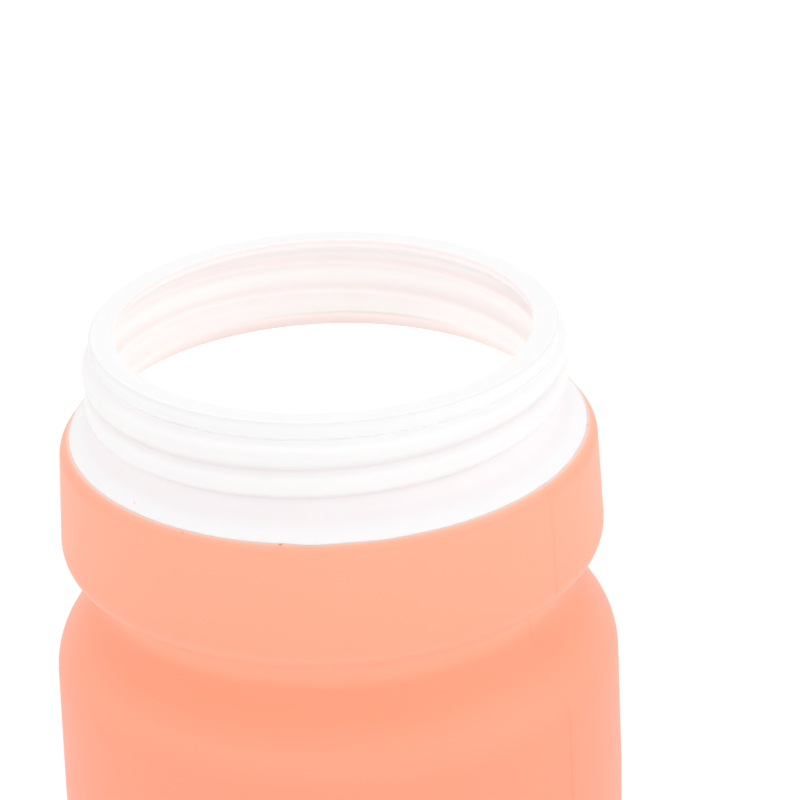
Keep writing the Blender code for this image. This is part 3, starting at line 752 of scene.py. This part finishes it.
# %% The section of the white body
ring_inner = FOOT_RING - FOOT_WIDTH
floor = RECESS + WALL
inner_roof = Vector(inner_wall[1][:2]) + Vector((-1.0, 1.6))
inside_low = section([
    (0, floor + DISH, 0),
    (ring_inner - floor, floor, 1.5),
    (ring_inner, inner_wall[-2][1], 1.5),
    *inner_wall[-2:1:-1],
    (*inner_wall[1][:2], 2.0),
    (*inner_roof, 0.5),
    (*BORE_END, 0),
], 4.0)
inside_neck = section([
    (*BORE_END, 0),
    (NECK_BORE, RIM - 11.7, 2.5),
    (NECK_BORE, RIM - LIP_THICK - 0.9, 0.9),
    (LIP_INNER, RIM - LIP_THICK + 0.3, 0.7),
    (LIP_INNER, RIM, 0.45),
    (LIP_SPLIT, RIM, 0),
], 0.22)
outside_neck = section([
    (LIP_SPLIT, RIM, 0),
    (LIP_OUTER, RIM, 0.5),
    (LIP_OUTER, RIM - LIP_FOOT, 0.6),
    (NECK + 0.25, RIM - LIP_FOOT - 0.3, 0.4),
    (NECK, RIM - LIP_FOOT - 1.5, 0),
    (NECK, NECK_FOOT, 2.5),
    (*(edge_point - edge_slope * 0.006), 0),
    (*(edge_point - edge_out * (COAT + COAT_GAP)), 0),
], 0.22)
outside_low = section([
    (*(edge_point - edge_out * (COAT + COAT_GAP)), 0),
    *under_coat[1:-1],
    (FOOT_RING, under_coat[-1][1], 0),
    (FOOT_RING, 0, 0.75),
    (ring_inner, 0, 0.75),
    (ring_inner - RECESS, RECESS, 1.5),
    (0, RECESS + DISH, 0),
], 4.0)
white_section = np.vstack([inside_low, inside_neck[1:], outside_neck[1:],
                           outside_low[1:]])
CHAMBER_ROWS = len(inside_low) - 1
INSIDE_ROWS = CHAMBER_ROWS + len(inside_neck) - 1
print(len(white_section), "points in the white section,", INSIDE_ROWS,
      "rows of faces inside")

# %% [markdown]
# ### The thread on both sides of the wall
#
# Outside, the ridge stands 1.6 mm proud. Inside, the channel behind it is shallower and
# rounder, as the soft wall was blown into the mould's groove and didn't fill it. One
# function moves both: it looks at whether a point lies outside or inside the wall.

# %% Move the neck's points for the thread and the edge
RIDGE_RISE, RIDGE_HALF_WIDTH, RIDGE_FULLNESS, RIDGE_BETWEEN = 1.58, 2.05, 3.5, 0.5
CHANNEL_DEPTH, CHANNEL_HALF_WIDTH, CHANNEL_FULLNESS = 0.7, 2.05, 2.0
LIP_GROOVE = 0.8
SOFT_MEETING = 0.3
ON_WALL = 0.05


def neck_shape(radius, height, angle):
    """The white body's points, moved out for the thread and along the coat's edge."""
    ridge = thread_rise(angle, height, THREAD_LOW, THREAD_TURNS,
                        RIDGE_HALF_WIDTH, RIDGE_RISE, RIDGE_FULLNESS, RIDGE_BETWEEN)
    ridge = ridge * eased((RIM - LIP_FOOT - 0.1 - height) / LIP_GROOVE)
    channel = thread_rise(angle, height, THREAD_LOW, THREAD_TURNS,
                          CHANNEL_HALF_WIDTH, CHANNEL_DEPTH, CHANNEL_FULLNESS)
    outside = (radius > NECK - ON_WALL) & (height > NECK_FOOT - 0.8)
    inside = np.abs(radius - NECK_BORE) < ON_WALL
    blend = SOFT_MEETING * np.minimum(ridge, 1)
    apart = radius - NECK - ridge
    top = (radius + NECK + ridge + np.sqrt(apart ** 2 + blend ** 2)) / 2
    lifted = np.where(outside & (ridge > 0.001), top, radius)
    lifted = np.where(inside, radius + channel, lifted)
    return with_drift(lifted, height, angle)


white_mesh = turned("bottle_white", white_section, angles_round(), closed=False,
                    change=neck_shape)
placed("bottle_white", white_mesh, BOTTLE_X, "bottle", "bottle_body",
       white_polyethylene)
white_mesh.materials.append(inside_white)
white_mesh.materials.append(neck_inside)
for index, face in enumerate(white_mesh.polygons[:INSIDE_ROWS * AROUND]):
    face.material_index = 1 if index < CHAMBER_ROWS * AROUND else 2

# %% [markdown]
# ## The coral coat
#
# The coat is a thin closed shell: the skin outside, the same skin moved in by its own
# thickness inside, and the bead along its upper edge. The bead's section is given as
# pairs: how far down the slope, and how far above the skin. The mould line starts on the
# bead's top and ends before the heel, and never makes the bottle any wider.

# %% The coat's section, from the bead down and back up inside
EDGE_BEAD = ((0.0, -0.40), (0.0, -0.20), (0.0, -0.02), (0.02, 0.012), (0.07, 0.035),
             (0.14, 0.048), (0.22, 0.052), (0.32, 0.045), (0.44, 0.028), (0.58, 0.01),
             (0.75, -0.008), (0.9, -0.025), (1.05, -0.02), (1.25, 0.0))
BEAD_LENGTH = EDGE_BEAD[-1][0]
LINING_BACK = 0.1
LINE_STARTS, LINE_STOPS_SHORT = 6, 3
bead = np.array([tuple(edge_point + edge_slope * down + edge_out * up)
                 for down, up in EDGE_BEAD])
skin_from_bead = [(*(edge_point + edge_slope * BEAD_LENGTH), 0), *coral_skin[1:]]
coat_outside = section(skin_from_bead, 1.0)
lining_start = edge_point - edge_out * COAT + edge_slope * LINING_BACK
coat_lining = section([(*lining_start, 0), *moved_in(coral_skin, COAT)[1:]], 4.0)
coat_section = np.vstack([bead, coat_outside[1:], coat_lining[::-1]])
bottle_width = max(corner[0] for corner in coral_skin)


def coat_shape(radius, height, angle):
    """The coat's points, with the mould line on its skin and the edge's wandering."""
    skin = np.zeros(len(radius), bool)
    skin[LINE_STARTS:len(bead) + len(coat_outside) - LINE_STOPS_SHORT] = True
    lift = np.where(skin[:, None], mould_ridge(radius, height, angle), 0)
    keep_in = np.minimum(radius + lift, bottle_width)
    return with_drift(keep_in, height, angle)


coat_mesh = turned("coat", coat_section, skin_angles, change=coat_shape)
placed("coat", coat_mesh, BOTTLE_X, "bottle", "coral_coat",
       coral_coating)

# %% [markdown]
# ## The lid's shell
#
# The lid is one stiff moulding in the bottle's colour: a skirt with upright flutes for wet
# fingers, a flat deck, a low dome, and the tower that carries the nozzle. Inside the skirt
# runs the thread that climbs the bottle's own. Its corners are those of the plain solid,
# with softer roundings.

# %% The lid's sizes, with heights above the surface that it stands on
SKIRT, SKIRT_INNER, CEILING, ROOF = 32.5, 30.9, 12.7, 14.5
DECK, DECK_EDGE = 15.7, 27.0
DOME, DOME_EDGE = 21.7, 14.6
PEDESTAL, PEDESTAL_EDGE = 24.9, 13.4
TOWER, TOWER_BORE, LEDGE_BORE, LEDGE = 8.8, 6.6, 5.6, 24.3
HEAD, HEAD_FOOT, HEAD_TOP = 9.4, 32.7, 36.1
SEAL_GROOVE, SEAL_FOOT, SEAL_TOP = 7.9, 33.8, 35.0
GAP = 0.3

shell_outside = section([
    (TOWER_BORE, HEAD_TOP, 0),
    (HEAD, HEAD_TOP, 0.3),
    (HEAD, SEAL_TOP + GAP, 0.1),
    (SEAL_GROOVE, SEAL_TOP + GAP, 0.1),
    (SEAL_GROOVE, SEAL_FOOT - GAP, 0.1),
    (HEAD, SEAL_FOOT - GAP, 0.1),
    (HEAD, HEAD_FOOT, 0.3),
    (TOWER, HEAD_FOOT, 0.2),
    (TOWER, PEDESTAL, 0.3),
    (PEDESTAL_EDGE, PEDESTAL, 0.8),
    (DOME_EDGE, DOME, 5.0),
    (DECK_EDGE, DECK, 5.0),
    (SKIRT, ROOF, 2.6),
    (SKIRT, 0, 0.4),
    (SKIRT_INNER, 0, 0.4),
    (SKIRT_INNER, CEILING, 0.2),
    (25.3, CEILING, 0.3),
    (23.5, DECK - 0.9, 0.8),
    (12.8, DOME - 1.8, 2.0),
    (11.6, PEDESTAL - 1.8, 0.5),
    (LEDGE_BORE, PEDESTAL - 1.8, 0.2),
    (LEDGE_BORE, LEDGE, 0.1),
    (TOWER_BORE, LEDGE, 0.1),
], 0.5, closed=True)
print(len(shell_outside), "points in the lid's section")

# %% [markdown]
# ### Flutes and thread
#
# Thirty-six flutes go round the skirt. Each is a shallow channel that ends in a round,
# like the mark of a thumb. Cutting them with rods would leave sharp rims. Moving the
# skirt's own points in by a smooth amount gives the soft rims that a mould has. Twelve
# angles for each flute keep them round.

# %% Move the lid's points for the flutes and the thread
FLUTES, ANGLES_IN_FLUTE = 36, 12
FLUTE_DEPTH, FLUTE_HALF_WIDTH, FLUTE_FULLNESS = 0.78, 1.75, 1.3
FLUTE_LOW, FLUTE_HIGH, FLUTE_END = 1.9, 11.7, 1.3
LID_THREAD_FIRST, LID_THREAD_TURNS = 2.85, 1.25
LID_RIDGE_RISE, LID_RIDGE_HALF_WIDTH, LID_RIDGE_FULLNESS = 1.3, 1.15, 2.4
ON_SKIRT = 0.02


def lid_shape(radius, height, angle):
    """The shell's points, with grip flutes outside and the thread inside."""
    step = 2 * pi / FLUTES
    across = (angle % step - step / 2) * SKIRT
    side = np.clip(np.abs(across) / FLUTE_HALF_WIDTH, 0, 1)
    near_end = np.minimum(height - FLUTE_LOW, FLUTE_HIGH - height)
    length = np.clip(near_end / FLUTE_END, 0, 1)
    round_end = np.sqrt(1 - (1 - length) ** 2)
    away = np.clip(side / np.maximum(round_end, 1e-3), 0, 1)
    flute = FLUTE_DEPTH * (1 - away ** 2) ** FLUTE_FULLNESS * (length > 0)
    skirt = np.abs(radius - SKIRT) < ON_SKIRT
    ridge = thread_rise(angle, height, LID_THREAD_FIRST, LID_THREAD_TURNS,
                        LID_RIDGE_HALF_WIDTH, LID_RIDGE_RISE, LID_RIDGE_FULLNESS)
    inner = (np.abs(radius - SKIRT_INNER) < ON_SKIRT) & (height > 0.4)
    moved = np.where(skirt, radius - flute, radius)
    return np.where(inner, radius - ridge, moved), height


coral_polypropylene = moulded("coral_polypropylene", (1.0, 0.385, 0.25),
                              (1.0, 0.41, 0.275), roughness=0.4, patch=11.0, grain=0.4,
                              grain_depth=0.004)
shell_mesh = turned("lid", shell_outside, angles_round(FLUTES * ANGLES_IN_FLUTE),
                    change=lid_shape)
placed("lid", shell_mesh, LID_X, "lid", "lid_shell",
       coral_polypropylene)

# %% [markdown]
# ## Gasket and seal ring
#
# The gasket is a flat ring of soft rubber pressed under the lid's roof, with a shallow
# track where the bottle's lip has bitten into it. The seal ring is a milky silicone ring
# that sits in a groove of the tower's head and rubs on the inside of the nozzle.

# %% The gasket and the seal ring
white_rubber = moulded("white_seal_rubber", (0.80, 0.80, 0.785), (0.86, 0.86, 0.85),
                       roughness=0.62, patch=6.0, grain=0.35, grain_depth=0.006)
gasket = section([
    (25.35, 11.0, 0.3),
    (25.35, 12.4, 0.3),
    (30.6, 12.4, 0.3),
    (30.6, 11.0, 0.3),
    (29.7, 11.0, 0.3),
    (29.2, 11.18, 0.3),
    (26.6, 11.18, 0.3),
    (26.1, 11.0, 0.3),
], 0.6, closed=True)
placed("gasket", turned("gasket", gasket, angles_round(144)), LID_X, "lid",
       "lid_gasket", white_rubber)

silicone = moulded("clear_silicone", (0.82, 0.82, 0.81), (0.88, 0.88, 0.87),
                   roughness=0.42, patch=3.0, grain=0.3, grain_depth=0.003)
scattering(silicone, 0.3, 0.8)
seal = section([
    (8.2, SEAL_FOOT, 0.5),
    (8.2, SEAL_TOP, 0.5),
    (9.4, SEAL_TOP, 0.55),
    (9.4, SEAL_FOOT, 0.55),
], 0.3, closed=True)
placed("seal_ring", turned("seal_ring", seal, angles_round(96)), LID_X, "lid",
       "nozzle_seal", silicone)

# %% [markdown]
# ## The valve post
#
# A ring sits in the bore of the tower, and three spokes on it carry a pin. The pin's thick
# end is the plug: with the nozzle down it fills the outlet, and with the nozzle up the
# drink flows round it. Ring and pin are turned, and the spokes are thin bars between them.
# All three are joined into one body by an exact Boolean, as they are one moulding.

# %% The ring, the pin and its plug
PLUG, PLUG_TOP, PLUG_FOOT = 2.9, 43.9, 41.9
PIN, POST_FOOT, POST_HEIGHT = 1.9, 24.6, 2.6
white_polypropylene = moulded("white_polypropylene", (0.86, 0.86, 0.85),
                              (0.91, 0.91, 0.9), roughness=0.4, patch=5.0, grain=0.3,
                              grain_depth=0.003)
post_ring = section([
    (5.0, POST_FOOT, 0.2),
    (5.0, POST_FOOT + POST_HEIGHT, 0.2),
    (6.3, POST_FOOT + POST_HEIGHT, 0.25),
    (6.3, POST_FOOT, 0.25),
], 0.8, closed=True)
pin = section([
    (0, PLUG_TOP - 0.25, 0),
    (PLUG - 0.9, PLUG_TOP - 0.25, 0.3),
    (PLUG - 0.6, PLUG_TOP, 0.15),
    (PLUG, PLUG_TOP, 0.35),
    (PLUG, PLUG_FOOT, 0.3),
    (PIN, PLUG_FOOT - 1.4, 0.6),
    (PIN, POST_FOOT, 0.3),
    (0, POST_FOOT, 0),
], 0.8)
post_mesh = turned("post", post_ring, angles_round(96))
pin_mesh = turned("pin", pin, angles_round(64), closed=False)
print(len(post_mesh.polygons), "faces in the ring,", len(pin_mesh.polygons), "in the pin")

# %% The spokes, and the three joined into one
SPOKES, SPOKE_WIDTH, SPOKE_REACH, SPOKE_EDGE = 3, 1.6, 5.7, 0.2
SPOKE_HEIGHT = POST_HEIGHT - 0.6


def spoke_mesh():
    """Three soft-edged bars from the pin to the ring."""
    shape = bmesh.new()
    size = (SPOKE_REACH * MM, SPOKE_WIDTH * MM, SPOKE_HEIGHT * MM)
    shift = (SPOKE_REACH / 2 * MM, 0, (POST_FOOT + POST_HEIGHT / 2) * MM)
    for index in range(SPOKES):
        bar = bmesh.ops.create_cube(shape, size=1)["verts"]
        bmesh.ops.scale(shape, verts=bar, vec=size)
        bmesh.ops.translate(shape, verts=bar, vec=shift)
        spin = Matrix.Rotation(2 * pi * index / SPOKES, 3, "Z")
        bmesh.ops.rotate(shape, verts=bar, matrix=spin)
    bmesh.ops.bevel(shape, geom=list(shape.edges), offset=SPOKE_EDGE * MM, segments=3,
                    affect="EDGES", profile=0.5)
    mesh = bpy.data.meshes.new("spokes")
    shape.to_mesh(mesh)
    shape.free()
    return mesh


def joined(mesh, others, crossing):
    """One closed mesh made of several that run into each other."""
    target = bpy.data.objects.new("joining", mesh)
    bpy.context.scene.collection.objects.link(target)
    helpers = []
    for index, other in enumerate(others):
        helper = bpy.data.objects.new(f"joining_{index}", other)
        bpy.context.scene.collection.objects.link(helper)
        helpers.append(helper)
        union = target.modifiers.new("union", "BOOLEAN")
        union.operation, union.solver, union.object = "UNION", "EXACT", helper
        union.use_self = crossing
    bpy.context.view_layer.update()
    graph = bpy.context.evaluated_depsgraph_get()
    whole = bpy.data.meshes.new_from_object(target.evaluated_get(graph))
    whole.name = mesh.name + "_whole"
    for helper in [target, *helpers]:
        bpy.data.objects.remove(helper)
    return tidied(whole)


whole_post = joined(post_mesh, [pin_mesh, spoke_mesh()], crossing=True)
placed("plug_post", whole_post, LID_X, "lid", "valve_post",
       white_polypropylene)

# %% [markdown]
# ## The nozzle
#
# The nozzle slides 6 mm on the tower. Its wide flange is for fingers or teeth to pull, its
# bore runs over the seal ring, and a lip at its foot stops it from coming off. A thin tube
# on top carries the soft mouthpiece, and a bead at the tube's end holds it. Fine turning
# marks aren't needed, since the part is moulded, but its edges are all a little round.

# %% The hard part of the nozzle
NOZZLE_FOOT, NOZZLE_LIP_TOP, NOZZLE_CEILING = 25.2, 26.4, 36.4
NOZZLE_DECK, NOZZLE_TOP = 37.9, 43.9
FLANGE, FLANGE_HEIGHT = 12.8, 1.8
NOZZLE_OUTER, NOZZLE_BORE, NOZZLE_LIP = 11.0, 9.7, 9.1
TUBE, TUBE_BORE, TUBE_BEAD, BEAD_HEIGHT, OUTLET = 6.4, 4.9, 6.9, 1.2, 3.2
nozzle_white = moulded("white_nozzle_plastic", (0.88, 0.88, 0.87), (0.93, 0.93, 0.92),
                       roughness=0.36, patch=6.0, grain=0.35, grain_depth=0.003)
nozzle = section([
    (NOZZLE_LIP, NOZZLE_FOOT, 0.2),
    (NOZZLE_LIP, NOZZLE_LIP_TOP, 0.2),
    (NOZZLE_BORE, NOZZLE_LIP_TOP, 0.15),
    (NOZZLE_BORE, NOZZLE_CEILING, 0.3),
    (TUBE_BORE, NOZZLE_CEILING, 0.3),
    (TUBE_BORE, PLUG_FOOT, 0.3),
    (OUTLET, PLUG_FOOT, 0.2),
    (OUTLET, NOZZLE_TOP, 0.15),
    (TUBE_BEAD, NOZZLE_TOP, 0.4),
    (TUBE_BEAD, NOZZLE_TOP - BEAD_HEIGHT, 0.2),
    (TUBE, NOZZLE_TOP - BEAD_HEIGHT, 0.2),
    (TUBE, NOZZLE_DECK, 0.4),
    (NOZZLE_OUTER, NOZZLE_DECK, 0.7),
    (NOZZLE_OUTER, NOZZLE_FOOT + FLANGE_HEIGHT, 0.8),
    (FLANGE, NOZZLE_FOOT + FLANGE_HEIGHT, 0.7),
    (FLANGE, NOZZLE_FOOT, 0.5),
], 0.8, closed=True)
placed("nozzle_core", turned("nozzle_core", nozzle, angles_round(144)), LID_X,
       "nozzle", "nozzle", nozzle_white)

# %% [markdown]
# ## The mouthpiece
#
# A soft sleeve is pulled over the tube. It has a waist that lips close on, a bulb above it
# and a round hole for the drink. The material is a matt elastomer with a grain that is a
# little coarser than the hard plastic's, and light goes further into it.

# %% The soft mouthpiece
soft_rubber = moulded("soft_white_rubber", (0.86, 0.85, 0.835), (0.91, 0.9, 0.89),
                      roughness=0.55, patch=4.0, grain=0.45, grain_depth=0.005)
scattering(soft_rubber, 0.35, 1.5)
mouthpiece = section([
    (TUBE + GAP, 38.2, 0.2),
    (TUBE + GAP, 42.4, 0.15),
    (TUBE_BEAD + GAP, 42.4, 0.15),
    (TUBE_BEAD + GAP, 44.2, 0.3),
    (3.6, 44.2, 0.3),
    (3.6, 45.7, 0.5),
    (5.6, 45.7, 1.2),
    (10.0, 43.6, 1.5),
    (8.9, 41.6, 1.5),
    (10.4, 39.8, 0.9),
    (10.4, 38.2, 0.3),
], 0.4, closed=True)
placed("mouthpiece_sleeve", turned("mouthpiece_sleeve", mouthpiece, angles_round(144)),
       LID_X, "nozzle", "mouthpiece", soft_rubber)

# %% [markdown]
# ## Floor, sky and lamp
#
# The photograph was taken on white, with soft light from everywhere. Upright surfaces are a
# little brighter in it than those that face up, so most of the light came from the side,
# as in a room with white walls. So the sky here is brighter near the horizon than overhead,
# and one big square lamp at the right, a little towards the camera, adds a trace of
# direction. The camera sees a white sky of strength 1. Mirrored rays see nearly that, so
# that edges of the bottle fade into white. The floor shows the same white to the camera
# but keeps part of its own shading, and that part carries the shadow. The Standard view
# transform shows every colour as it is written, with no look of film on top.

# %% The sky
SKY_LOW, SKY_HIGH = 1.392, 0.848
SKY_MIRRORED, SKY_SEEN = 0.8, 1.0
sky = bpy.data.worlds.new("white_sky")
bpy.context.scene.world = sky
sky.use_nodes = True
tree = sky.node_tree
tree.nodes.clear()
direction = added(tree, "TexCoord", {}).outputs["Generated"]
parts = added(tree, "SeparateXYZ", {0: direction})
by_height = added(tree, "MapRange", {"Value": parts.outputs["Z"], "To Min": SKY_LOW,
                                     "To Max": SKY_HIGH}).outputs["Result"]
rays = added(tree, "LightPath", {}).outputs
mirrored = calculated(tree, "MAXIMUM", rays["Is Glossy Ray"], rays["Is Transmission Ray"])
strength = added(tree, "MapRange", {"Value": mirrored, "To Min": by_height,
                                    "To Max": SKY_MIRRORED}).outputs["Result"]
seen = added(tree, "MapRange", {"Value": rays["Is Camera Ray"], "To Min": strength,
                                "To Max": SKY_SEEN}).outputs["Result"]
background = added(tree, "Background", {"Color": (1, 1, 1, 1), "Strength": seen})
added(tree, "OutputWorld", {"Surface": background.outputs[0]})
print("sky:", SKY_LOW, "at the horizon,", SKY_HIGH, "overhead")

# %% The lamp
LAMP_SIZE, LAMP_POWER = 0.8, 0.78
LAMP_PLACE, LAMP_AIM = Vector((0.95, -0.38, 0.5)), Vector((BOTTLE_X * MM, 0.0, 0.13))
lamp_data = bpy.data.lights.new("large_lamp", "AREA")
lamp_data.shape = "SQUARE"
lamp_data.size = LAMP_SIZE
lamp_data.energy = LAMP_POWER
lamp = bpy.data.objects.new("large_lamp", lamp_data)
bpy.context.scene.collection.objects.link(lamp)
lamp.location = LAMP_PLACE
lamp.rotation_euler = (LAMP_PLACE - LAMP_AIM).to_track_quat("Z", "Y").to_euler()
print("lamp:", LAMP_POWER, "W,", LAMP_SIZE, "m wide")

# %% The floor
FLOOR_REACH = 2.5
FLOOR_WHITE, FLOOR_SHADING, FLOOR_COLOUR = 1.02, 0.4, 0.9
floor_shape = bmesh.new()
bmesh.ops.create_circle(floor_shape, cap_ends=True, radius=FLOOR_REACH, segments=96)
floor_mesh = bpy.data.meshes.new("floor")
floor_shape.to_mesh(floor_mesh)
floor_shape.free()
floor_piece = bpy.data.objects.new("floor", floor_mesh)
bpy.context.scene.collection.objects.link(floor_piece)
floor_piece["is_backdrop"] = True
pale = bpy.data.materials.new("pale_floor")
floor_mesh.materials.append(pale)
pale.use_nodes = True
tree = pale.node_tree
tree.nodes.clear()
plain, shaded = (added(tree, "BsdfDiffuse", {"Color": (grey, grey, grey, 1)}).outputs[0]
                 for grey in (FLOOR_COLOUR, FLOOR_SHADING))
white = added(tree, "Emission", {"Strength": FLOOR_WHITE - FLOOR_SHADING})
both = added(tree, "AddShader", {0: shaded, 1: white.outputs[0]})
rays = added(tree, "LightPath", {}).outputs
shown = added(tree, "MixShader", {0: rays["Is Camera Ray"], 1: plain, 2: both.outputs[0]})
added(tree, "OutputMaterial", {"Surface": shown.outputs[0]})
print("floor:", 2 * FLOOR_REACH, "m across")

# %% Colours are shown as they are
bpy.context.scene.view_settings.view_transform = "Standard"
print("view transform:", bpy.context.scene.view_settings.view_transform)

# %% [markdown]
# ## The two boxes
#
# The dressed model has to stay as big as the frame. Both boxes are printed.

# %% Print the two boxes
dressed_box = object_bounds()
for name, box in (("frame", cad_box), ("dressed", dressed_box)):
    print(name, [round(v / MM, 2) for v in (*box[0], *box[1])])
